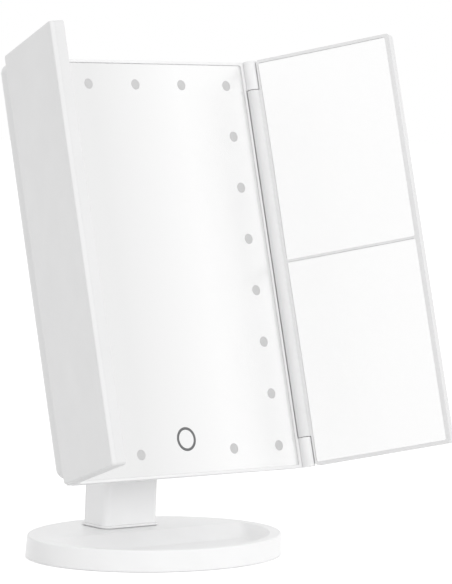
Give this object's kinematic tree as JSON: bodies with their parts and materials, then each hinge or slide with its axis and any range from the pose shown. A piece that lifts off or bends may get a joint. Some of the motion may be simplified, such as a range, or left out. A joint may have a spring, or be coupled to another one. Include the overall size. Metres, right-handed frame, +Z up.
{
  "type": "trifold vanity mirror",
  "caption": "Trifold lighted vanity mirror: main glass with border lights and a touch button, folding wings, tilting head on a neck, oval base with a tray.",
  "frame": {"origin": "centre of the face that the base rests on", "axes": "+Z up, +X to the right of the mirror, -Y out of the front of the mirror"},
  "size_m": [0.2569, 0.1666, 0.2991],
  "materials": {
    "white_plastic": "satin",
    "mirror_glass": "polished",
    "frosted_lens": "frosted",
    "grey_inlay": "satin",
    "zinc_steel": "plated",
    "ballast_steel": "rough",
    "copper_foil": "bright",
    "circuit_board": "satin",
    "led_phosphor": "gloss",
    "grip_rubber": "matt",
    "black_plastic": "satin",
    "cell_sleeve": "gloss",
    "lead_red": "gloss"
  },
  "bodies": {
    "stand": {"base_shell": "white_plastic", "base_plate": "white_plastic", "base_weight": "ballast_steel", "non_slip_pad": "grip_rubber", "base_screws": "zinc_steel", "neck_column": "white_plastic", "neck_rear_cover": "white_plastic", "neck_screws": "zinc_steel", "friction_washers": "black_plastic"},
    "head": {"main_frame": "white_plastic", "main_mirror": "mirror_glass", "led_lenses": "frosted_lens", "led_chips": "led_phosphor", "led_board": "circuit_board", "touch_ring": "grey_inlay", "touch_sensor": "copper_foil", "control_board": "circuit_board", "usb_socket": "zinc_steel", "rear_cover": "white_plastic", "rear_cover_screws": "zinc_steel", "switch_body": "black_plastic", "battery_tray": "white_plastic", "battery_cells": "cell_sleeve", "battery_springs": "zinc_steel", "battery_contacts": "zinc_steel", "battery_leads": "lead_red", "tilt_pin": "zinc_steel", "tilt_pin_caps": "white_plastic", "right_hinge_pins": "zinc_steel", "left_hinge_pins": "zinc_steel"},
    "right_wing": {"right_wing_frame": "white_plastic", "right_wing_back": "white_plastic", "right_upper_mirror": "mirror_glass", "right_lower_mirror": "mirror_glass"},
    "left_wing": {"left_wing_frame": "white_plastic", "left_wing_back": "white_plastic", "left_mirror": "mirror_glass"},
    "slider": {"power_slider": "black_plastic"},
    "door": {"battery_door": "white_plastic"}
  },
  "joints": [
    {"name": "head_tilt", "type": "hinge", "parent": "stand", "child": "head", "pos_m": [0, 0.0257, 0.092], "axis": [-1, 0, 0], "range_deg": [-16.3, 45]},
    {"name": "right_wing_swing", "type": "hinge", "parent": "head", "child": "right_wing", "pos_m": [0.0859, 0.0018, 0.1629], "axis": [0, -0.2807, -0.9598], "range_deg": [-58.7, 121.3]},
    {"name": "left_wing_swing", "type": "hinge", "parent": "head", "child": "left_wing", "pos_m": [-0.0859, 0.0018, 0.1629], "axis": [0, 0.2807, 0.9598], "range_deg": [-70.3, 109.7]},
    {"name": "power_slide", "type": "slide", "parent": "head", "child": "slider", "axis": [1, 0, 0], "range_m": [0, 0.003]},
    {"name": "battery_door_lift", "type": "slide", "parent": "head", "child": "door", "axis": [0, 0.9598, -0.2807], "range_m": [0, 0.015]}
  ]
}
